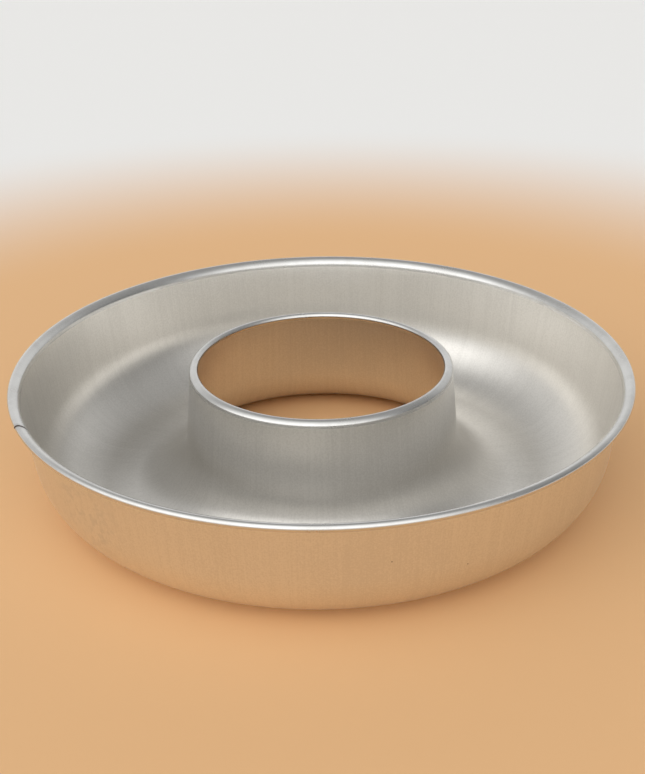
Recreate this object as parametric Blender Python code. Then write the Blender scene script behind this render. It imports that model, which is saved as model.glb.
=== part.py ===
"""Plain ring mould: one drawn sheet trough round an open tube, with a wired bead on each rim.

Metres, +Z up. The origin is on the mould's axis, on the plane that the floor ring stands on.
A section is drawn in (radius, height) and turned about Z. On both edges the sheet flares over into
a lip. A strip covers the lip's upper face and rolls on over a core wire and back under the lip.
"""

import math

import bmesh
import bpy

# Driving dimensions
RIM_DIAMETER = 0.260                # over the outer bead
HOLE_DIAMETER = 0.104               # clear through the tube's bead
PAN_HEIGHT = 0.053                  # floor to the top of both beads
SHEET = 0.0004                      # drawn shell
FLOOR_WIDTH = 0.0116                # flat ring that the mould stands on
TUBE_CORNER = 0.024                 # corner of floor and tube wall; the outer one takes what is left
WALL_LEAN = math.radians(7.5)       # outer wall, from the vertical
TUBE_LEAN = math.radians(5.0)       # tube wall, from the vertical

# Flares, on the visible face of the strip
RIM_FLARE_RADIUS = 0.0047
TUBE_FLARE_RADIUS = 0.0032
ROLL_ANGLE = math.radians(75.0)     # heading, from the vertical, where a flare tightens into the roll

# Rolled strips and their core wires
WIRE_DIAMETER = 0.0017
STRIP = 0.00025
CLEARANCE = 0.0002                  # strip to lip, on both faces of the lip, and lip to wire
BEAD_SPLIT = 0.0005                 # between the two ends of the outer bead
WIRE_SPLIT = 0.0004                 # between the two ends of each wire
SPLIT_AZIMUTH = math.radians(205.714)

# Facets
TURN_STEPS = 56
CORNER_STEPS = 7
FLARE_STEPS = 4
ROLL_STEPS = 9
WIRE_STEPS = 8
SHARP_ANGLE = math.radians(40.0)

# Derived sizes
WIRE_RADIUS = WIRE_DIAMETER / 2.0
BEAD_BORE = WIRE_RADIUS + CLEARANCE + SHEET / 2.0
BEAD_RADIUS = BEAD_BORE + STRIP
FLOOR_MID = SHEET / 2.0             # height of the floor's mid-line
OUTWARD = 1.0
INWARD = -1.0


def third_angle(first, second, opposite):
    """Angle between two sides of a triangle, across from the opposite side."""
    cosine = (first ** 2 + second ** 2 - opposite ** 2) / (2.0 * first * second)
    return math.acos(max(-1.0, min(1.0, cosine)))


def spread(start, stop, steps):
    """Evenly spaced values, both ends included."""
    return [start + (stop - start) * step / steps for step in range(steps + 1)]


class Edge:
    """One wired edge: its bead's centre, its flare and the wall below it.

    side is OUTWARD for the rim and INWARD for the tube: the way the sheet flares. A heading is
    the sheet's direction of travel from the vertical, up the wall and over into the roll.
    """

    def __init__(self, bead_at, side, lean, flare_radius):
        self.side = side
        self.lean = lean
        self.flare_radius = flare_radius
        self.lip_radius = flare_radius - STRIP - CLEARANCE - SHEET / 2.0
        self.bead = (bead_at, PAN_HEIGHT - BEAD_RADIUS)
        self.centre_gap = flare_radius - BEAD_RADIUS
        self.flare_centre = (
            bead_at + side * self.centre_gap * math.cos(ROLL_ANGLE),
            self.bead[1] - self.centre_gap * math.sin(ROLL_ANGLE),
        )
        self.wall_top = self.on_arc(self.flare_centre, self.lip_radius, lean)

    def on_arc(self, centre, radius, heading):
        """A point (radius, height) on an arc, where the sheet has this heading."""
        return (
            centre[0] - self.side * radius * math.cos(heading),
            centre[1] + radius * math.sin(heading),
        )

    def lip_heading(self):
        """Heading at the lip's edge, which ends short of the wire."""
        return ROLL_ANGLE - third_angle(self.centre_gap, self.lip_radius, BEAD_BORE)

    def roll_end(self):
        """Heading at the strip's end, which closes up to the underside of the lip."""
        under_lip = self.lip_radius - SHEET / 2.0 - CLEARANCE
        return math.pi + ROLL_ANGLE + third_angle(self.centre_gap, BEAD_RADIUS, under_lip)

    def wall_run(self):
        """How far the wall leans in, level with the floor's mid-line, if it ran on straight."""
        return (self.wall_top[1] - FLOOR_MID) * math.tan(self.lean)

    def corner_share(self):
        """Width of a tangent corner of radius 1, from the floor's edge to the wall's line."""
        return (1.0 - math.sin(self.lean)) / math.cos(self.lean)

    def corner_limit(self):
        """The largest corner radius that the wall has room for."""
        return (self.wall_top[1] - FLOOR_MID) / (1.0 - math.sin(self.lean))

    def floor_edge(self, corner_radius):
        """Radius at which the corner meets the floor."""
        foot = self.wall_top[0] - self.side * self.wall_run()
        return foot - self.side * corner_radius * self.corner_share()

    def mid_line(self, corner_radius):
        """Points (radius, height, angle) of the sheet's mid-line, from the lip's edge to the floor.

        The sheet's underside faces (side * cos(angle), -sin(angle)).
        """
        points = []
        for heading in spread(self.lip_heading(), self.lean, FLARE_STEPS):
            points.append((*self.on_arc(self.flare_centre, self.lip_radius, heading), heading))
        centre = (self.floor_edge(corner_radius), FLOOR_MID + corner_radius)
        for angle in spread(self.lean, math.pi / 2.0, CORNER_STEPS):
            points.append((*self.on_arc(centre, -corner_radius, angle), angle))
        return points


def shell_section(rim, tube):
    """Closed outline of the drawn sheet, from the rim's lip to the tube's lip and back."""
    tube_corner = min(TUBE_CORNER, tube.corner_limit())
    width = rim.wall_top[0] - tube.wall_top[0] - rim.wall_run() - tube.wall_run()
    left_over = width - FLOOR_WIDTH - tube_corner * tube.corner_share()
    rim_corner = min(left_over / rim.corner_share(), rim.corner_limit())
    under = []
    upper = []
    halves = ((rim, rim.mid_line(rim_corner)), (tube, tube.mid_line(tube_corner)[::-1]))
    for edge, points in halves:
        for radius, height, angle in points:
            across = edge.side * math.cos(angle) * SHEET / 2.0
            down = math.sin(angle) * SHEET / 2.0
            under.append((radius + across, height - down))
            upper.append((radius - across, height + down))
    return under + upper[::-1]


def bead_section(edge):
    """Closed outline of a bead strip: over the lip's upper face, then rolled over the wire."""
    flare = spread(edge.lean, ROLL_ANGLE, FLARE_STEPS)
    roll = spread(ROLL_ANGLE, edge.roll_end(), ROLL_STEPS)[1:]
    face = [edge.on_arc(edge.flare_centre, edge.flare_radius, heading) for heading in flare]
    face += [edge.on_arc(edge.bead, BEAD_RADIUS, heading) for heading in roll]
    back = [edge.on_arc(edge.flare_centre, edge.flare_radius - STRIP, heading) for heading in flare]
    back += [edge.on_arc(edge.bead, BEAD_BORE, heading) for heading in roll]
    return face + back[::-1]


def wire_section(edge):
    """Outline of the core wire."""
    turns = spread(0.0, 2.0 * math.pi, WIRE_STEPS)[1:]
    return [edge.on_arc(edge.bead, WIRE_RADIUS, turn) for turn in turns]


def turned(name, outline, split=0.0, azimuth=SPLIT_AZIMUTH):
    """Turn a closed outline about Z. A split leaves two capped ends at the azimuth."""
    mesh_data = bmesh.new()
    reach = max(radius for radius, _ in outline)
    half_split = split / 2.0 / reach
    start = azimuth + half_split
    loop = [
        mesh_data.verts.new((radius * math.cos(start), radius * math.sin(start), height))
        for radius, height in outline
    ]
    edges = [mesh_data.edges.new((a, b)) for a, b in zip(loop, loop[1:] + loop[:1])]
    bmesh.ops.spin(
        mesh_data,
        geom=loop + edges,
        axis=(0.0, 0.0, 1.0),
        cent=(0.0, 0.0, 0.0),
        angle=2.0 * (math.pi - half_split),
        steps=TURN_STEPS,
        use_merge=split == 0.0,
        use_normal_flip=False,
        use_duplicate=False,
    )
    ends = [edge for edge in mesh_data.edges if edge.is_boundary]
    if ends:
        bmesh.ops.holes_fill(mesh_data, edges=ends, sides=0)
    bmesh.ops.recalc_face_normals(mesh_data, faces=mesh_data.faces)
    mesh = bpy.data.meshes.new(name)
    mesh_data.to_mesh(mesh)
    mesh_data.free()
    mesh.shade_smooth()
    mesh.set_sharp_from_angle(angle=SHARP_ANGLE)
    piece = bpy.data.objects.new(name, mesh)
    bpy.context.scene.collection.objects.link(piece)
    return piece


def metal(name, colour, roughness):
    """A plain metal finish."""
    material = bpy.data.materials.new(name)
    material.use_nodes = True
    shader = material.node_tree.nodes["Principled BSDF"]
    shader.inputs["Base Color"].default_value = (*colour, 1.0)
    shader.inputs["Metallic"].default_value = 1.0
    shader.inputs["Roughness"].default_value = roughness
    return material


def main():
    """Build the five pieces of the mould, each with its own material."""
    for old in list(bpy.data.objects):
        bpy.data.objects.remove(old, do_unlink=True)

    rim = Edge(RIM_DIAMETER / 2.0 - BEAD_RADIUS, OUTWARD, WALL_LEAN, RIM_FLARE_RADIUS)
    tube = Edge(HOLE_DIAMETER / 2.0 + BEAD_RADIUS, INWARD, TUBE_LEAN, TUBE_FLARE_RADIUS)
    wire_joint = SPLIT_AZIMUTH + math.pi

    satin = (0.66, 0.65, 0.63)
    rolled = (0.72, 0.72, 0.71)
    drawn = (0.50, 0.50, 0.50)
    pieces = (
        (turned("pan_shell", shell_section(rim, tube)), satin, 0.34),
        (turned("outer_rim_bead", bead_section(rim), BEAD_SPLIT), rolled, 0.26),
        (turned("tube_rim_bead", bead_section(tube)), rolled, 0.26),
        (turned("outer_rim_wire", wire_section(rim), WIRE_SPLIT, wire_joint), drawn, 0.40),
        (turned("tube_rim_wire", wire_section(tube), WIRE_SPLIT, wire_joint), drawn, 0.40),
    )
    for piece, colour, roughness in pieces:
        piece.data.materials.append(metal(piece.name + "_metal", colour, roughness))


main()
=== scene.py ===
"""Looks of a plain ring cake pan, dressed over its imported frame.

The pan is thin drawn sheet: a U-shaped trough round an open tube. On both edges the sheet flares over
into a lip, and a strip covers the lip and rolls on over a core wire. Every surface is a section in
(radius, height) carried round the axis, on a grid of section points by azimuths. Metres, +Z up, origin
on the pan's axis at the plane that it stands on.
"""

import logging
import math
from dataclasses import dataclass
from enum import Enum

import bpy
import numpy as np
from mathutils import Matrix, Vector


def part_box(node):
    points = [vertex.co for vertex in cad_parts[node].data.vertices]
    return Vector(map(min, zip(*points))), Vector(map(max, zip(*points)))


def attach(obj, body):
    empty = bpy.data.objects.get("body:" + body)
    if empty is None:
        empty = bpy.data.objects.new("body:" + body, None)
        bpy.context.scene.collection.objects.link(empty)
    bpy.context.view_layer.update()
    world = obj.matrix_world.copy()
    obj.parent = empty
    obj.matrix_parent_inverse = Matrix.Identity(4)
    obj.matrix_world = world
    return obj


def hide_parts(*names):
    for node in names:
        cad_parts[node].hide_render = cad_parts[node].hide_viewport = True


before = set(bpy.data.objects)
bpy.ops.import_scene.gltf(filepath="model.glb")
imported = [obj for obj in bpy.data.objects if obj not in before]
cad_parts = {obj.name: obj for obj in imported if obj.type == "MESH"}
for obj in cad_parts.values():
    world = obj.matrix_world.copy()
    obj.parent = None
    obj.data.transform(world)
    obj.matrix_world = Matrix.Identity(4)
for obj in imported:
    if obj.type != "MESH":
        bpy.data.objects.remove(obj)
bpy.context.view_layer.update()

LOG = logging.getLogger("ring_pan")
BODY = "root"
MM = 0.001
FULL_TURN = 2.0 * math.pi
SHARP_ANGLE = math.radians(50.0)

Colour = tuple[float, float, float]
Place = tuple[float, float, float]
Socket = bpy.types.NodeSocket


def half_width(node: str) -> float:
    """Half the width of a turned CAD node, in metres."""
    low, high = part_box(node)
    return (high[0] - low[0]) / 2.0


def top_of(node: str) -> float:
    """Height of a CAD node's highest point, in metres."""
    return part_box(node)[1][2]


def third_angle(first: float, second: float, opposite: float) -> float:
    """Angle between two sides of a triangle, across from the opposite side, in radians."""
    return math.acos((first ** 2 + second ** 2 - opposite ** 2) / (2.0 * first * second))


def ease(value: np.ndarray) -> np.ndarray:
    """Smooth step 3 v^2 - 2 v^3 of values clipped to 0..1."""
    clipped = np.clip(value, 0.0, 1.0)
    return clipped * clipped * (3.0 - 2.0 * clipped)


class Side(Enum):
    """Which edge of the sheet a lip is on, as the sign of the way it flares."""

    RIM = 1.0
    TUBE = -1.0


@dataclass(frozen=True)
class EdgeStock:
    """Thicknesses that make up a wired edge."""

    sheet: float = 0.40 * MM
    strip: float = 0.25 * MM
    clearance: float = 0.20 * MM
    wire_radius: float = 0.85 * MM
    seat_gap: float = 0.02 * MM

    @property
    def bead_radius(self) -> float:
        """Outside radius of the rolled bead's section."""
        return self.wire_radius + self.clearance + self.sheet / 2.0 + self.strip

    @property
    def lip_depth(self) -> float:
        """From the strip's face to the middle of the lip under it."""
        return self.strip + self.clearance + self.sheet / 2.0

    @property
    def pressed(self) -> float:
        """Thickness of the strip where it is pressed down on the lip."""
        return self.strip + self.clearance - self.seat_gap


@dataclass(frozen=True)
class WiredEdge:
    """One edge of the pan: the bead's centre, the flare below it and the wall below that.

    A heading is the sheet's direction of travel from the vertical, up the wall and over the roll.
    """

    side: Side
    bead_at: float
    bead_height: float
    lean: float
    flare_radius: float
    roll_angle: float
    stock: EdgeStock
    flare_points: int = 14
    wall_points: int = 8
    corner_points: int = 30

    def facing(self, heading: np.ndarray | float) -> np.ndarray:
        """Unit normals (..., 2) of the visible face where the sheet has these headings."""
        return np.stack([-self.side.value * np.cos(heading), np.sin(heading)], axis=-1)

    def travel(self, heading: float) -> np.ndarray:
        """Unit vector (2,) along the sheet at a heading."""
        return np.array([self.side.value * math.sin(heading), math.cos(heading)])

    @property
    def bead(self) -> np.ndarray:
        """Centre of the bead as (radius, height)."""
        return np.array([self.bead_at, self.bead_height])

    @property
    def centre_gap(self) -> float:
        """From the bead's centre to the flare's, whose arcs touch where the roll begins."""
        return self.flare_radius - self.stock.bead_radius

    @property
    def flare_centre(self) -> np.ndarray:
        """Centre of the flare's arc as (radius, height)."""
        return self.bead - self.centre_gap * self.facing(self.roll_angle)

    @property
    def lip_radius(self) -> float:
        """Radius of the flare on the lip's mid-line."""
        return self.flare_radius - self.stock.lip_depth

    def lip_heading(self) -> float:
        """Heading at the lip's edge, which ends short of the wire."""
        reach = self.stock.bead_radius - self.stock.strip
        return self.roll_angle - third_angle(self.centre_gap, self.lip_radius, reach)

    def roll_end(self) -> float:
        """The strip rolls on by half a turn and by the angle that tucks its end up under the lip.

        Returns:
            The heading at the strip's end, in radians.
        """
        under_lip = self.lip_radius - self.stock.sheet / 2.0 - self.stock.seat_gap
        closing = third_angle(self.centre_gap, self.stock.bead_radius, under_lip)
        return math.pi + self.roll_angle + closing

    def wall_top(self) -> np.ndarray:
        """Where the flare ends and the straight wall begins, as (radius, height)."""
        return self.flare_centre + self.lip_radius * self.facing(self.lean)

    def wall_run(self, floor_height: float) -> float:
        """How far the wall leans in by the floor's height if it ran on straight, in metres."""
        return (self.wall_top()[1] - floor_height) * math.tan(self.lean)

    def corner_share(self) -> float:
        """Width of a tangent corner of radius 1, from the floor's edge to the wall's line."""
        return (1.0 - math.sin(self.lean)) / math.cos(self.lean)

    def mid_line(self, corner_radius: float, floor_height: float) -> tuple[np.ndarray, np.ndarray]:
        """The sheet's mid-line from the lip's edge over flare, wall and corner to the floor.

        Args:
            corner_radius: radius of the rounded corner, on the mid-line.
            floor_height: height of the floor's mid-line.

        Returns:
            Points (n, 2) as (radius, height), and the unit normals (n, 2) of the trough's side.
        """
        flare_heading = np.linspace(self.lip_heading(), self.lean, self.flare_points)
        flare = self.flare_centre + self.lip_radius * self.facing(flare_heading)
        foot = self.wall_top()[0] - self.side.value * self.wall_run(floor_height)
        centre = np.array([
            foot - self.side.value * corner_radius * self.corner_share(),
            floor_height + corner_radius,
        ])
        corner_heading = np.linspace(self.lean, math.pi / 2.0, self.corner_points)
        corner = centre - corner_radius * self.facing(corner_heading)
        share = np.linspace(0.0, 1.0, self.wall_points + 2)[1:-1, None]
        wall = flare[-1] + share * (corner[0] - flare[-1])
        heading = np.concatenate([flare_heading, np.full(self.wall_points, self.lean), corner_heading])
        return np.concatenate([flare, wall, corner]), self.facing(heading)


def turned_points(section: np.ndarray, azimuth: np.ndarray) -> np.ndarray:
    """Carry a section round the axis: (r, z) at azimuth a goes to (r cos a, r sin a, z).

    Args:
        section: (m, 2), or (m, n, 2) where the section changes with azimuth.
        azimuth: (n,) angles in radians, or (m, n) where they change along the section.

    Returns:
        Points (m, n, 3).
    """
    if section.ndim == 2:
        section = np.repeat(section[:, None, :], azimuth.shape[-1], axis=1)
    radius = section[..., 0]
    return np.stack([radius * np.cos(azimuth), radius * np.sin(azimuth), section[..., 1]], axis=-1)


def grid_quads(rows: int, columns: int, closed_round: bool) -> np.ndarray:
    """Quads of a grid whose rows close on themselves.

    Args:
        rows: points in the closed section.
        columns: azimuths.
        closed_round: whether the last azimuth joins the first.

    Returns:
        Vertex indices (q, 4), numbered row * columns + column.
    """
    steps = columns if closed_round else columns - 1
    row, column = np.meshgrid(np.arange(rows), np.arange(steps), indexing="ij")
    next_row = (row + 1) % rows
    next_column = (column + 1) % columns
    corners = [
        row * columns + column,
        next_row * columns + column,
        next_row * columns + next_column,
        row * columns + next_column,
    ]
    return np.stack(corners, axis=-1).reshape(-1, 4)


def ring_mesh(name: str, points: np.ndarray, closed_round: bool) -> bpy.types.Object:
    """Make a turned piece from its grid of points, with flat caps where it doesn't close.

    Args:
        name: name of the object and its mesh.
        points: grid (section, azimuth, 3), the section a closed loop that keeps the metal on its right.
        closed_round: whether the last azimuth joins the first.

    Returns:
        The new object, at the origin, with its faces pointing outwards.
    """
    rows, columns = points.shape[:2]
    faces = [tuple(quad) for quad in grid_quads(rows, columns, closed_round).tolist()]
    if not closed_round:
        first = np.arange(rows) * columns
        faces.append(tuple(first[::-1].tolist()))
        faces.append(tuple((first + columns - 1).tolist()))
    mesh = bpy.data.meshes.new(name)
    mesh.from_pydata(points.reshape(-1, 3).tolist(), [], faces)
    mesh.validate()
    mesh.shade_smooth()
    mesh.set_sharp_from_angle(angle=SHARP_ANGLE)
    piece = bpy.data.objects.new(name, mesh)
    bpy.context.scene.collection.objects.link(piece)
    return piece


def give_attribute(piece: bpy.types.Object, name: str, values: np.ndarray) -> None:
    """Store one number for each point of a piece, for its material to read.

    Args:
        piece: the mesh object.
        name: name of the attribute.
        values: one number for each point, in grid order.
    """
    layer = piece.data.attributes.new(name, "FLOAT", "POINT")
    layer.data.foreach_set("value", values.astype(np.float32).ravel())


@dataclass(frozen=True)
class Ripple:
    """The slight unevenness of drawn sheet: a few long waves round the wall and along it."""

    height: float = 0.06 * MM
    lobes: tuple[int, ...] = (2, 3, 5, 7, 11, 13)
    lengths: tuple[float, ...] = (0.19, 0.11, 0.083, 0.061, 0.047, 0.039)
    seed: int = 11

    def offsets(self, run: np.ndarray, azimuth: np.ndarray) -> np.ndarray:
        """Sum of waves cos(lobe * azimuth + phase) * cos(2 pi run / length + phase).

        Args:
            run: (m,) metres along the section.
            azimuth: (n,) radians.

        Returns:
            Offsets (m, n) along the sheet's normal, in metres.
        """
        draw = np.random.default_rng(self.seed)
        total = np.zeros((len(run), len(azimuth)))
        for lobe, length in zip(self.lobes, self.lengths):
            turn_phase, run_phase = draw.uniform(0.0, FULL_TURN, 2)
            around = np.cos(lobe * azimuth + turn_phase)
            along = np.cos(FULL_TURN * run / length + run_phase)
            total += along[:, None] * around[None, :]
        return total * self.height / math.sqrt(len(self.lobes))


@dataclass(frozen=True)
class SlantCut:
    """The slanted cut where the two ends of the outer strip meet.

    The cut runs aslant across the strip, so its azimuth falls off along the section, and it opens
    towards the rolled edge.
    """

    azimuth: float = math.radians(205.7)
    level_at: float = 3.3 * MM
    slant: float = 0.66
    narrow: float = 0.45 * MM
    wide: float = 1.30 * MM

    def shift(self, along: np.ndarray, radius: float) -> np.ndarray:
        """Turn (m,) of the cut at distances along the section: -slant * (along - level_at) / radius."""
        return -self.slant * (along - self.level_at) / radius

    def half_gap(self, along: np.ndarray, radius: float) -> np.ndarray:
        """Half the opening (m,) in radians, growing evenly from the strip's foot to its end."""
        share = along / along.max()
        return 0.5 * (self.narrow + share * (self.wide - self.narrow)) / radius


@dataclass
class PanShell:
    """The drawn trough in one sheet: outer wall, floor and tube wall, with a lip at each edge."""

    rim: WiredEdge
    tube: WiredEdge
    cut: SlantCut
    floor_width: float = 11.6 * MM
    tube_corner: float = 24.0 * MM
    columns: int = 360
    ripple: Ripple = Ripple()
    ripple_fade: float = 12.0 * MM
    # Painted shade on the lip under the cut: its width round the pan, and its depth from the rim's lip.
    slit_shade_width: float = 2.6 * MM
    slit_shade_depth: float = 3.6 * MM

    def rim_corner(self) -> float:
        """The outer corner takes the width that the floor and the tube's corner leave.

        Returns:
            Its radius on the mid-line, in metres.
        """
        floor = self.rim.stock.sheet / 2.0
        width = self.rim.wall_top()[0] - self.tube.wall_top()[0]
        width -= self.rim.wall_run(floor) + self.tube.wall_run(floor) + self.floor_width
        return (width - self.tube_corner * self.tube.corner_share()) / self.rim.corner_share()

    def mid_line(self) -> tuple[np.ndarray, np.ndarray, np.ndarray]:
        """The sheet's mid-line from the rim's lip to the tube's lip.

        Returns:
            Points (m, 2), unit normals (m, 2) of the trough's side, and run (m,) in metres.
        """
        floor = self.rim.stock.sheet / 2.0
        rim_points, rim_normals = self.rim.mid_line(self.rim_corner(), floor)
        tube_points, tube_normals = self.tube.mid_line(self.tube_corner, floor)
        points = np.concatenate([rim_points, tube_points[::-1]])
        normals = np.concatenate([rim_normals, tube_normals[::-1]])
        steps = np.linalg.norm(np.diff(points, axis=0), axis=1)
        return points, normals, np.concatenate([[0.0], np.cumsum(steps)])

    def unevenness(self, points: np.ndarray, run: np.ndarray, azimuth: np.ndarray) -> np.ndarray:
        """Ripple offsets that fade out at both lips and on the standing ring.

        Args:
            points: (m, 2) mid-line.
            run: (m,) metres along it.
            azimuth: (n,) radians.

        Returns:
            Offsets (m, n) in metres.
        """
        from_edges = np.minimum(run, run[-1] - run) / self.ripple_fade
        from_floor = points[:, 1] / self.ripple_fade
        fade = ease(np.minimum(from_edges, from_floor))
        return self.ripple.offsets(run, azimuth) * fade[:, None]

    def slit_shading(self, run: np.ndarray, azimuth: np.ndarray) -> np.ndarray:
        """Painted shade on the lip under the strip's cut, where the slit is dark: a bell round it, gone
        past the lip.

        Args:
            run: (m,) metres from the rim's lip.
            azimuth: (n,) radians.

        Returns:
            Share of painted shade (m, n), 0 to 1.
        """
        away = (azimuth - self.cut.azimuth) * self.rim.bead_at / self.slit_shade_width
        return np.outer(ease((self.slit_shade_depth - run) / MM), np.exp(-away * away))

    def build(self) -> bpy.types.Object:
        """Both faces of the sheet as one closed section carried round the axis.

        Returns:
            The shell, with attributes run (metres from the rim's lip) and slit_shade (0 to 1), painted
            shade under the cut.
        """
        points, normals, run = self.mid_line()
        azimuth = np.arange(self.columns) * FULL_TURN / self.columns
        offsets = self.unevenness(points, run, azimuth)
        half = self.rim.stock.sheet / 2.0
        upper = points[:, None] + (half - offsets)[..., None] * normals[:, None]
        under = points[:, None] - (half + offsets)[..., None] * normals[:, None]
        section = np.concatenate([under, upper[::-1]])
        piece = ring_mesh("pan_shell_drawn", turned_points(section, azimuth), closed_round=True)
        both = np.concatenate([run, run[::-1]])
        give_attribute(piece, "run", np.repeat(both, self.columns))
        # Painted shade on the lip under the cut in the outer strip.
        give_attribute(piece, "slit_shade", self.slit_shading(both, azimuth))
        return piece


@dataclass
class RolledStrip:
    """A strip pressed down over a lip's flare and rolled on round the core wire to under the lip."""

    name: str
    edge: WiredEdge
    cut: SlantCut | None = None
    columns: int = 420
    flare_points: int = 18
    roll_points: int = 36
    end_points: int = 4
    foot: float = 0.10 * MM
    feather: float = math.radians(32.0)
    end_steps: tuple[float, ...] = (0.0, 0.06, 0.16, 0.32, 0.6, 1.0, 1.6, 2.4, 3.4, 4.6)
    end_bevel: float = 0.05 * MM
    end_sink: float = 0.16 * MM
    sink_reach: float = 1.1 * MM
    slant_reach: float = 9.0 * MM
    # Reach of the painted shade from the strip's ends.
    slit_shade_reach: float = 0.45 * MM

    def outline(self, trim: float = 0.0) -> np.ndarray:
        """Closed outline: face up the flare and round the roll, rounded end, and back again.

        The face thins out towards the strip's foot, so that it lies almost flush on the wall.

        Args:
            trim: how far the face and the back are drawn in, for the bevel at a cut.

        Returns:
            Points (m, 2) as (radius, height).
        """
        edge = self.edge
        thick = edge.stock.pressed
        flare = np.linspace(edge.lean, edge.roll_angle, self.flare_points)
        roll = np.linspace(edge.roll_angle, edge.roll_end(), self.roll_points + 1)[1:]
        thinned = (thick - self.foot) * (1.0 - ease((flare - edge.lean) / self.feather))
        flare_out = edge.facing(flare)
        roll_out = edge.facing(roll)
        face = edge.flare_centre + (edge.flare_radius - thinned - trim)[:, None] * flare_out
        back = edge.flare_centre + (edge.flare_radius - thick + trim) * flare_out
        face_roll = edge.bead + (edge.stock.bead_radius - trim) * roll_out
        back_roll = edge.bead + (edge.stock.bead_radius - thick + trim) * roll_out
        turn = np.linspace(0.0, math.pi, self.end_points + 2)[1:-1, None]
        middle = edge.bead + (edge.stock.bead_radius - thick / 2.0) * edge.facing(roll[-1])
        rounded = np.cos(turn) * edge.facing(roll[-1]) + np.sin(turn) * edge.travel(roll[-1])
        end = middle + (thick / 2.0 - trim) * rounded
        return np.concatenate([face, face_roll, end, back_roll[::-1], back[::-1]])

    def along(self) -> np.ndarray:
        """How far along the strip each outline point is: radius times turn, on the face's two arcs.

        Returns:
            Metres (m,) from the strip's foot, in the outline's order.
        """
        edge = self.edge
        flare = edge.flare_radius * np.linspace(0.0, edge.roll_angle - edge.lean, self.flare_points)
        turn = np.linspace(0.0, edge.roll_end() - edge.roll_angle, self.roll_points + 1)[1:]
        roll = flare[-1] + edge.stock.bead_radius * turn
        one_way = np.concatenate([flare, roll])
        return np.concatenate([one_way, np.full(self.end_points, roll[-1]), one_way[::-1]])

    def from_ends(self) -> tuple[np.ndarray, np.ndarray]:
        """Distances of the columns from the strip's first end, close together near both ends.

        Returns:
            Metres (n,) from the first end, and from the last.
        """
        whole = FULL_TURN * self.edge.bead_at
        near = np.array(self.end_steps) * MM
        between = np.linspace(near[-1], whole - near[-1], self.columns)[1:-1]
        distance = np.concatenate([near, between, whole - near[::-1]])
        return distance, whole - distance

    def build_closed(self) -> bpy.types.Object:
        """A strip with no cut: the outline carried round the axis."""
        azimuth = np.arange(self.columns) * FULL_TURN / self.columns
        return ring_mesh(self.name, turned_points(self.outline(), azimuth), closed_round=True)

    def build_cut(self) -> bpy.types.Object:
        """A strip whose ends meet at the slanted cut, one of them pressed down a little.

        Returns:
            The strip, with the attribute slit_shade, painted shade at the cut (1 at its ends, 0 away
            from them).
        """
        first, last = self.from_ends()
        along = self.along()
        radius = self.edge.bead_at
        grid = np.repeat(self.outline()[:, None, :], len(first), axis=1)
        grid[:, [0, -1]] = self.outline(self.end_bevel)[:, None, :]
        sink = self.end_sink * np.exp(-last / self.sink_reach)
        grid[..., 1] -= ease(along / along.max())[:, None] * sink[None, :]
        half_gap = self.cut.half_gap(along, radius)[:, None]
        bend = np.exp(-first / self.slant_reach) + np.exp(-last / self.slant_reach)
        share = first / (FULL_TURN * radius)
        azimuth = self.cut.azimuth + half_gap + share * (FULL_TURN - 2.0 * half_gap)
        azimuth = azimuth + self.cut.shift(along, radius)[:, None] * bend[None, :]
        piece = ring_mesh(self.name, turned_points(grid, azimuth), closed_round=False)
        # Painted shade: the strip's ends darken towards the cut.
        darkening = np.exp(-np.minimum(first, last) / self.slit_shade_reach)
        give_attribute(piece, "slit_shade", np.tile(darkening, len(along)))
        return piece

    def build(self) -> bpy.types.Object:
        """The strip, closed or cut."""
        return self.build_cut() if self.cut else self.build_closed()


@dataclass
class CoreWire:
    """The wire that a bead is rolled over, with its two ends butted at the joint."""

    name: str
    edge: WiredEdge
    joint: float
    cut: SlantCut | None = None
    gap: float = 0.4 * MM
    columns: int = 360
    round_points: int = 14
    # Width of the painted shade round the cut.
    slit_shade_width: float = 5.0 * MM

    def build(self) -> bpy.types.Object:
        """A round section carried round the axis from one end to the other.

        Returns:
            The wire, with the attribute slit_shade: painted shade in a bell round the cut in its bead,
                if there is one.
        """
        angle = -np.arange(self.round_points) * FULL_TURN / self.round_points
        circle = np.stack([np.cos(angle), np.sin(angle)], axis=-1)
        section = self.edge.bead + self.edge.stock.wire_radius * circle
        half = self.gap / 2.0 / self.edge.bead_at
        azimuth = np.linspace(self.joint + half, self.joint + FULL_TURN - half, self.columns)
        piece = ring_mesh(self.name, turned_points(section, azimuth), closed_round=False)
        if self.cut:
            # Painted shade on the wire round the cut in its bead.
            away = (azimuth - self.cut.azimuth) * self.edge.bead_at / self.slit_shade_width
            give_attribute(piece, "slit_shade", np.tile(np.exp(-away * away), self.round_points))
        return piece


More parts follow.
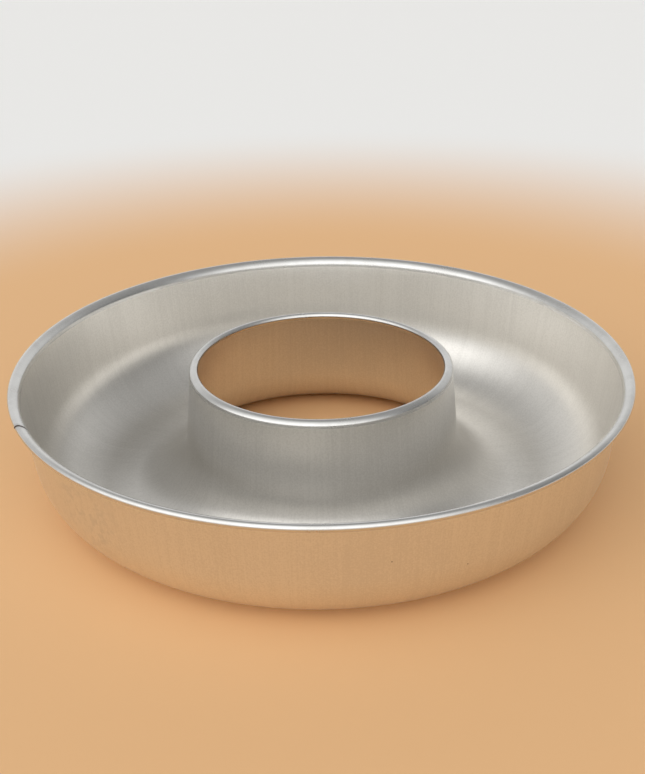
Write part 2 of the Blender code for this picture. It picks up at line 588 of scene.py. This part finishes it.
class NodeBench:
    """Adds nodes to one tree and links them by their sockets."""

    def __init__(self, tree: bpy.types.NodeTree) -> None:
        """Keep the tree.

        Args:
            tree: node tree of a material or of the world.
        """
        self.tree = tree

    def add(self, kind: str, values: dict | None = None, **settings: object) -> bpy.types.Node:
        """Add a node.

        Args:
            kind: Blender's node type.
            values: input names or numbers to a socket, which is linked, or to a plain value.
            settings: properties of the node itself.

        Returns:
            The new node.
        """
        node = self.tree.nodes.new(kind)
        for key, value in settings.items():
            setattr(node, key, value)
        for key, value in (values or {}).items():
            self.put(node.inputs[key], value)
        return node

    def put(self, socket: Socket, value: object) -> None:
        """Link an input, or set its value.

        Args:
            socket: the input.
            value: an output to link to it, or a plain value.
        """
        if isinstance(value, Socket):
            self.tree.links.new(value, socket)
        else:
            socket.default_value = value

    def shade(self, key: str, value: object) -> None:
        """Set or link an input of the material's shader."""
        self.put(self.tree.nodes["Principled BSDF"].inputs[key], value)

    def math(self, operation: str, first: object, second: object = 0.0, third: object = 0.0) -> Socket:
        """A Math node's result."""
        values = {0: first, 1: second, 2: third}
        return self.add("ShaderNodeMath", values, operation=operation).outputs[0]

    def vector(self, operation: str, first: object, second: object, third: object = None) -> Socket:
        """A Vector Math node's vector.

        Args:
            operation: Blender's name for it.
            first: a vector or a socket.
            second: the same.
            third: the same, for operations that take three.

        Returns:
            The node's vector output.
        """
        values = {0: first, 1: second}
        if third is not None:
            values[2] = third
        return self.add("ShaderNodeVectorMath", values, operation=operation).outputs["Vector"]

    def measure(self, operation: str, first: object, second: object) -> Socket:
        """A Vector Math node's number, such as a distance."""
        node = self.add("ShaderNodeVectorMath", {0: first, 1: second}, operation=operation)
        return node.outputs["Value"]

    def spread(self, value: Socket, low: float, high: float, to_low: float, to_high: float) -> Socket:
        """A Map Range node's result, smooth and clamped.

        Args:
            value: what is mapped.
            low: value that gives to_low.
            high: value that gives to_high.
            to_low: result at low.
            to_high: result at high.

        Returns:
            The mapped value.
        """
        values = {"Value": value, "From Min": low, "From Max": high, "To Min": to_low, "To Max": to_high}
        return self.add("ShaderNodeMapRange", values, interpolation_type="SMOOTHSTEP").outputs["Result"]

    def mix(self, share: Socket, first: object, second: object) -> Socket:
        """A colour mixed from two: (1 - share) * first + share * second.

        Args:
            share: share of the second, clamped to 0..1.
            first: a colour or a socket.
            second: the same.

        Returns:
            The mixed colour.
        """
        values = {
            "Factor": share,
            "A": first if isinstance(first, Socket) else (*first, 1.0),
            "B": second if isinstance(second, Socket) else (*second, 1.0),
        }
        return self.add("ShaderNodeMix", values, data_type="RGBA").outputs["Result"]

    def noise(self, vector: Socket, scale: float, detail: float, rough: float = 0.5) -> Socket:
        """A Noise Texture's value at a place."""
        values = {"Vector": vector, "Scale": scale, "Detail": detail, "Roughness": rough}
        return self.add("ShaderNodeTexNoise", values).outputs["Fac"]

    def attribute(self, name: str) -> Socket:
        """A number stored on the piece's points."""
        return self.add("ShaderNodeAttribute", attribute_name=name).outputs["Fac"]

    def object_place(self) -> Socket:
        """Object coordinates, in metres."""
        return self.add("ShaderNodeTexCoord").outputs["Object"]

    def streaks(self, run: Socket, count: float, along: float, detail: float) -> Socket:
        """Noise drawn out along the section, so that it makes lines down the wall.

        Args:
            run: metres along the section.
            count: noise cells for each radian round the pan.
            along: noise cells for each metre along the section.
            detail: octaves.

        Returns:
            The noise value.
        """
        flat = self.vector("MULTIPLY", self.object_place(), (1.0, 1.0, 0.0))
        around = self.add("ShaderNodeVectorMath", {0: flat}, operation="NORMALIZE").outputs["Vector"]
        depth = self.add("ShaderNodeCombineXYZ", {"Z": self.math("MULTIPLY", run, along)}).outputs[0]
        place = self.vector("MULTIPLY_ADD", around, (count, count, count), depth)
        return self.noise(place, 1.0, detail, rough=0.6)


def new_material(name: str) -> tuple[bpy.types.Material, NodeBench]:
    """A material with its shader in place.

    Args:
        name: name of the material.

    Returns:
        The material, and the bench for its nodes.
    """
    material = bpy.data.materials.new(name)
    material.use_nodes = True
    return material, NodeBench(material.node_tree)


def on_wall(azimuth: float, height: float, radius: float) -> Place:
    """A place on the wall from an azimuth in degrees and a height and radius in millimetres."""
    turn = math.radians(azimuth)
    return (radius * MM * math.cos(turn), radius * MM * math.sin(turn), height * MM)


@dataclass(frozen=True)
class SatinSheet:
    """Dull silver drawn sheet: draw lines down the walls, fine grain, scuffs, a few specks of grime and
    painted shade under the cut.
    """

    name: str = "satin_sheet"
    clean: Colour = (0.80, 0.779, 0.742)
    dull: Colour = (0.725, 0.704, 0.667)
    scuffed: Colour = (0.61, 0.605, 0.57)
    # Near black: the colour of the specks' grime, and of the painted shade on the lip under the cut.
    darkening: Colour = (0.050, 0.028, 0.018)
    roughness: float = 0.27
    line_roughness: float = 0.08
    cloud_roughness: float = 0.04
    scuff_roughness: float = 0.08
    darkened_roughness: float = 0.3
    anisotropy: float = 0.35
    draw_count: float = 300.0
    draw_along: float = 26.0
    band_count: float = 34.0
    band_along: float = 7.0
    grain_scale: float = 1400.0
    cloud_share: float = 0.4
    band_share: float = 1.4
    grain_share: float = 3.2
    line_share: float = 1.8
    cloud_scale: float = 24.0
    cloud_low: float = 0.38
    cloud_high: float = 0.68
    scuff_share: float = 0.5
    scuff_scale: float = 300.0
    scuff_low: float = 0.46
    scuff_high: float = 0.64
    scuff_at: Place = on_wall(-135.0, 33.0, 123.4)
    scuff_core: float = 6.5 * MM
    scuff_reach: float = 26.0 * MM
    grain_relief: float = 0.4
    band_relief: float = 1.5
    bump_strength: float = 0.16
    bump_height: float = 0.04 * MM
    speck_size: float = 0.33 * MM
    specks: tuple[Place, ...] = (
        on_wall(-65.53, 24.65, 122.36), on_wall(-79.16, 32.70, 123.43),
        on_wall(-132.45, 47.23, 125.36), on_wall(-53.60, 47.60, 125.41),
    )

    def speckled(self, bench: NodeBench, place: Socket) -> Socket:
        """Where the specks are: 1 within a speck, 0 outside.

        Args:
            bench: the material's bench.
            place: object coordinates.

        Returns:
            The mask.
        """
        nearest = bench.measure("DISTANCE", place, self.specks[0])
        for spot in self.specks[1:]:
            nearest = bench.math("MINIMUM", nearest, bench.measure("DISTANCE", place, spot))
        return bench.spread(nearest, 0.5 * self.speck_size, self.speck_size, 1.0, 0.0)

    def scuffing(self, bench: NodeBench, place: Socket) -> Socket:
        """Mottled scuffs round one place low on the wall, 0 to 1.

        Args:
            bench: the material's bench.
            place: object coordinates.

        Returns:
            The mask.
        """
        away = bench.measure("DISTANCE", place, self.scuff_at)
        zone = bench.spread(away, self.scuff_core, self.scuff_reach, 1.0, 0.0)
        patchy = bench.noise(place, self.scuff_scale, detail=4.0, rough=0.6)
        mottle = bench.spread(patchy, self.scuff_low, self.scuff_high, 0.0, 1.0)
        return bench.math("MULTIPLY", zone, mottle)

    def material(self) -> bpy.types.Material:
        """Build the finish.

        Wear is the sum of share times pattern over clouds, bands, grain and lines, shifted so that
        patterns of 0.5 give 0.5. Wear of 0 has the clean colour, and wear of 1 the dull one.

        Returns:
            A metal whose colour, roughness and bump vary with draw lines, grain and wear; its colour and
            roughness also with grime specks and painted shade under the cut.
        """
        material, bench = new_material(self.name)
        place = bench.object_place()
        run = bench.attribute("run")
        lines = bench.streaks(run, self.draw_count, self.draw_along, detail=4.0)
        bands = bench.streaks(run, self.band_count, self.band_along, detail=3.0)
        grain = bench.noise(place, self.grain_scale, detail=2.0)
        cloud = bench.noise(place, self.cloud_scale, detail=4.0)
        cloud = bench.spread(cloud, self.cloud_low, self.cloud_high, 0.0, 1.0)
        scuffs = self.scuffing(bench, place)
        worn = bench.math("MULTIPLY", cloud, self.cloud_share)
        worn = bench.math("MULTIPLY_ADD", bands, self.band_share, worn)
        worn = bench.math("MULTIPLY_ADD", grain, self.grain_share, worn)
        worn = bench.math("MULTIPLY_ADD", lines, self.line_share, worn)
        shares = self.cloud_share + self.band_share + self.grain_share + self.line_share
        worn = bench.math("SUBTRACT", worn, 0.5 * shares - 0.5)
        tint = bench.mix(worn, self.clean, self.dull)
        tint = bench.mix(bench.math("MULTIPLY", scuffs, self.scuff_share), tint, self.scuffed)
        # Painted shade on the lip under the cut, with the real grime of the specks, darkens the colour
        # towards near black.
        speck_dirt_and_slit_shade = bench.math("MAXIMUM", self.speckled(bench, place), bench.attribute("slit_shade"))
        bench.shade("Base Color", bench.mix(speck_dirt_and_slit_shade, tint, self.darkening))
        bench.shade("Metallic", bench.math("SUBTRACT", 1.0, speck_dirt_and_slit_shade))
        rough = bench.math("MULTIPLY_ADD", lines, self.line_roughness, self.roughness)
        rough = bench.math("MULTIPLY_ADD", cloud, self.cloud_roughness, rough)
        rough = bench.math("MULTIPLY_ADD", scuffs, self.scuff_roughness, rough)
        bench.shade("Roughness", bench.math("MULTIPLY_ADD", speck_dirt_and_slit_shade, self.darkened_roughness, rough))
        relief = bench.math("MULTIPLY_ADD", grain, self.grain_relief, lines)
        relief = bench.math("MULTIPLY_ADD", bands, self.band_relief, relief)
        dent = {"Strength": self.bump_strength, "Distance": self.bump_height, "Height": relief}
        bump = bench.add("ShaderNodeBump", dent)
        bench.shade("Normal", bump.outputs["Normal"])
        bench.shade("Anisotropic", self.anisotropy)
        round_axis = bench.add("ShaderNodeTangent", direction_type="RADIAL", axis="Z")
        bench.shade("Tangent", round_axis.outputs["Tangent"])
        return material


@dataclass(frozen=True)
class RolledRim:
    """Smooth rolled strip, rubbed bright by handling, with painted shade at its ends by the cut."""

    name: str = "rolled_rim"
    bright: Colour = (0.70, 0.70, 0.692)
    dull: Colour = (0.635, 0.63, 0.617)
    # Near black: painted shade at the strip's ends by the cut.
    darkening: Colour = (0.060, 0.034, 0.022)
    roughness: float = 0.22
    worn_roughness: float = 0.06
    darkened_roughness: float = 0.3
    cloud_scale: float = 60.0
    cloud_low: float = 0.36
    cloud_high: float = 0.70

    def material(self) -> bpy.types.Material:
        """Build the finish.

        Returns:
            A metal whose colour and roughness vary with wear along the bead, and with painted shade at
            the cut.
        """
        material, bench = new_material(self.name)
        cloud = bench.noise(bench.object_place(), self.cloud_scale, detail=5.0, rough=0.65)
        wear = bench.spread(cloud, self.cloud_low, self.cloud_high, 0.0, 1.0)
        # Painted shade at the strip's ends by the cut, where the slit is dark.
        slit_shade = bench.attribute("slit_shade")
        bench.shade("Base Color", bench.mix(slit_shade, bench.mix(wear, self.bright, self.dull), self.darkening))
        bench.shade("Metallic", bench.math("SUBTRACT", 1.0, slit_shade))
        rough = bench.math("MULTIPLY_ADD", wear, self.worn_roughness, self.roughness)
        bench.shade("Roughness", bench.math("MULTIPLY_ADD", slit_shade, self.darkened_roughness, rough))
        return material


@dataclass(frozen=True)
class DrawnWire:
    """Plain grey core wire, with painted shade where the strip's cut shows it."""

    name: str = "core_wire"
    grey: Colour = (0.30, 0.28, 0.26)
    tarnish: Colour = (0.16, 0.12, 0.09)
    # Near black: painted shade on the wire where the cut shows it.
    darkening: Colour = (0.050, 0.028, 0.018)
    roughness: float = 0.42
    tarnish_scale: float = 420.0

    def material(self) -> bpy.types.Material:
        """Build the finish.

        Returns:
            A dull metal with brown tarnish, and painted shade near the cut.
        """
        material, bench = new_material(self.name)
        tarnished = bench.noise(bench.object_place(), self.tarnish_scale, detail=4.0)
        # Painted shade on the wire round the cut.
        slit_shade = bench.attribute("slit_shade")
        tint = bench.mix(tarnished, self.grey, self.tarnish)
        bench.shade("Base Color", bench.mix(slit_shade, tint, self.darkening))
        bench.shade("Metallic", bench.math("SUBTRACT", 1.0, slit_shade))
        bench.shade("Roughness", self.roughness)
        return material


@dataclass
class RingPan:
    """The whole pan: the shell, and a rolled strip and a wire on each edge."""

    stock: EdgeStock = EdgeStock()
    cut: SlantCut = SlantCut()
    wall_lean: float = math.radians(7.5)
    tube_lean: float = math.radians(5.0)
    roll_angle: float = math.radians(75.0)
    rim_flare_radius: float = 4.7 * MM
    tube_flare_radius: float = 3.2 * MM
    hole_radius: float = 52.0 * MM
    wire_joint: float = math.radians(25.7)
    tube_columns: int = 300

    def edges(self) -> tuple[WiredEdge, WiredEdge]:
        """Place both edges by the CAD beads: a bead's centre is one bead radius inside its box.

        Returns:
            The rim's edge and the tube's edge.
        """
        bead = self.stock.bead_radius
        rim = WiredEdge(
            Side.RIM, half_width("outer_rim_bead") - bead, top_of("outer_rim_bead") - bead,
            self.wall_lean, self.rim_flare_radius, self.roll_angle, self.stock,
        )
        tube = WiredEdge(
            Side.TUBE, self.hole_radius + bead, top_of("tube_rim_bead") - bead,
            self.tube_lean, self.tube_flare_radius, self.roll_angle, self.stock,
        )
        return rim, tube

    def build(self) -> list[bpy.types.Object]:
        """Build every piece, dress it and tie it to the CAD node that it stands for.

        Returns:
            The pieces, in order.
        """
        rim, tube = self.edges()
        joint = self.wire_joint
        sheet = SatinSheet().material()
        rolled = RolledRim().material()
        wire = DrawnWire().material()
        shell = PanShell(rim, tube, self.cut)
        rim_strip = RolledStrip("outer_rim_bead_rolled", rim, self.cut)
        tube_strip = RolledStrip("tube_rim_bead_rolled", tube, columns=self.tube_columns)
        rim_wire = CoreWire("outer_rim_wire_drawn", rim, joint, self.cut)
        tube_wire = CoreWire("tube_rim_wire_drawn", tube, joint)
        parts = (
            (shell, "pan_shell", "satin_sheet", sheet),
            (rim_strip, "outer_rim_bead", "rolled_rim", rolled),
            (tube_strip, "tube_rim_bead", "rolled_rim", rolled),
            (rim_wire, "outer_rim_wire", "core_wire", wire),
            (tube_wire, "tube_rim_wire", "core_wire", wire),
        )
        pieces = []
        for maker, node, slot, finish in parts:
            piece = maker.build()
            piece.data.materials.append(finish)
            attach(piece, BODY)
            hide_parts(node)
            LOG.info("%s stands for %s, %d faces", piece.name, node, len(piece.data.polygons))
            pieces.append(piece)
        return pieces


@dataclass(frozen=True)
class PhotoCamera:
    """The photograph's viewpoint, as a distance and angles from the pan's foot."""

    distance: float = 0.5526
    elevation: float = math.radians(29.796)
    pitch: float = math.radians(25.989)
    yaw: float = math.radians(0.059)
    roll: float = math.radians(-0.9506)
    focal_pixels: float = 1248.2
    frame_height: int = 774
    sensor: float = 36.0
    clip_start: float = 0.01

    def place(self) -> bpy.types.Object:
        """Create the camera and make it the scene's.

        Returns:
            The camera object.
        """
        data = bpy.data.cameras.new("photo_camera")
        data.sensor_width = self.sensor
        data.lens = self.focal_pixels * self.sensor / self.frame_height
        data.clip_start = self.clip_start
        camera = bpy.data.objects.new("photo_camera", data)
        bpy.context.scene.collection.objects.link(camera)
        forward = Vector((
            math.sin(self.yaw) * math.cos(self.pitch),
            math.cos(self.yaw) * math.cos(self.pitch),
            -math.sin(self.pitch),
        ))
        level = Vector((math.cos(self.yaw), -math.sin(self.yaw), 0.0))
        upright = level.cross(forward)
        right = math.cos(self.roll) * level + math.sin(self.roll) * upright
        up = right.cross(forward)
        turn = Matrix((right, up, -forward)).transposed().to_4x4()
        spot = Vector((
            0.0, -self.distance * math.cos(self.elevation), self.distance * math.sin(self.elevation),
        ))
        camera.matrix_world = Matrix.Translation(spot) @ turn
        bpy.context.scene.camera = camera
        return camera


@dataclass(frozen=True)
class SoftSky:
    """Soft light from all round: a fill, a pale reflector behind and a window over the left shoulder."""

    tint: Colour = (1.0, 0.995, 0.98)
    level: float = 0.32
    slope: Place = (-0.09, 0.0, 0.08)
    reflector: float = 0.52
    reflector_low: float = 0.40
    reflector_high: float = 0.85
    window: float = 1.25
    window_at: Place = (-0.350, -0.926, 0.140)
    window_edge: float = -0.08
    window_core: float = 0.88

    def build(self) -> None:
        """Make the world. For a unit direction d its strength is the sum of three terms.

        The fill is level + slope . d. The reflector grows smoothly towards +Y and fades out with
        height. The window grows smoothly with d . window_at, from its edge to its core.
        """
        world = bpy.data.worlds.new("soft_sky")
        world.use_nodes = True
        bench = NodeBench(world.node_tree)
        way = bench.add("ShaderNodeTexCoord").outputs["Generated"]
        parts = bench.add("ShaderNodeSeparateXYZ", {"Vector": way}).outputs
        fill = bench.math("ADD", bench.measure("DOT_PRODUCT", way, self.slope), self.level)
        behind = bench.spread(parts["Y"], 0.0, 1.0, 0.0, self.reflector)
        low = bench.spread(parts["Z"], self.reflector_low, self.reflector_high, 1.0, 0.0)
        facing = bench.measure("DOT_PRODUCT", way, self.window_at)
        window = bench.spread(facing, self.window_edge, self.window_core, 0.0, self.window)
        strength = bench.math("ADD", bench.math("MULTIPLY_ADD", behind, low, fill), window)
        back = world.node_tree.nodes["Background"]
        back.inputs["Color"].default_value = (*self.tint, 1.0)
        bench.put(back.inputs["Strength"], strength)
        bpy.context.scene.world = world


@dataclass
class Studio:
    """A plain pale floor under a soft sky and one large soft lamp."""

    floor_near: Colour = (0.88, 0.530, 0.262)
    floor_far: Colour = (0.98, 0.977, 0.970)
    warm_at: Place = (0.0, 0.05, 0.0)
    fade_from: float = 0.25
    fade_to: float = 0.55
    rings: tuple[float, ...] = (0.2, 0.4, 0.8, 1.6, 4.0, 40.0)
    columns: int = 128
    floor_drop: float = 0.05 * MM
    floor_roughness: float = 0.8
    lamp_at: Place = (0.7, -0.5, 1.7)
    lamp_size: float = 1.6
    lamp_watts: float = 0.3

    def floor(self) -> bpy.types.Object:
        """A round floor, warm round the pan and near white further out.

        Returns:
            The floor.
        """
        azimuth = np.arange(self.columns) * FULL_TURN / self.columns
        section = np.stack([self.rings, np.full(len(self.rings), -self.floor_drop)], axis=-1)
        grid = turned_points(section, azimuth).reshape(-1, 3)
        points = np.concatenate([grid, [[0.0, 0.0, -self.floor_drop]]])
        quads = grid_quads(len(self.rings), self.columns, closed_round=True)
        quads = quads[: (len(self.rings) - 1) * self.columns]
        start = np.arange(self.columns)
        hub = np.full(self.columns, len(points) - 1)
        fan = np.stack([hub, start, (start + 1) % self.columns], axis=-1)
        mesh = bpy.data.meshes.new("floor")
        mesh.from_pydata(points.tolist(), [], quads.tolist() + fan.tolist())
        material, bench = new_material("floor_paper")
        away = bench.measure("DISTANCE", bench.object_place(), self.warm_at)
        share = bench.spread(away, self.fade_from, self.fade_to, 0.0, 1.0)
        bench.shade("Base Color", bench.mix(share, self.floor_near, self.floor_far))
        bench.shade("Roughness", self.floor_roughness)
        mesh.materials.append(material)
        floor = bpy.data.objects.new("floor", mesh)
        bpy.context.scene.collection.objects.link(floor)
        return floor

    def lamp(self) -> bpy.types.Object:
        """A square soft lamp that points at the pan.

        Returns:
            The lamp.
        """
        data = bpy.data.lights.new("window_lamp", "AREA")
        data.size = self.lamp_size
        data.energy = self.lamp_watts
        lamp = bpy.data.objects.new("window_lamp", data)
        lamp.location = self.lamp_at
        lamp.rotation_euler = (-Vector(self.lamp_at)).to_track_quat("-Z", "Y").to_euler()
        bpy.context.scene.collection.objects.link(lamp)
        return lamp

    def build(self) -> None:
        """Lay the floor and set the lights."""
        self.floor()
        self.lamp()
        SoftSky().build()


def main() -> None:
    """Build the camera, the pan and the studio."""
    logging.basicConfig(level=logging.INFO, format="%(message)s")
    bpy.context.scene.view_settings.view_transform = "Standard"
    PhotoCamera().place()
    RingPan().build()
    Studio().build()


if __name__ == "__main__":
    main()
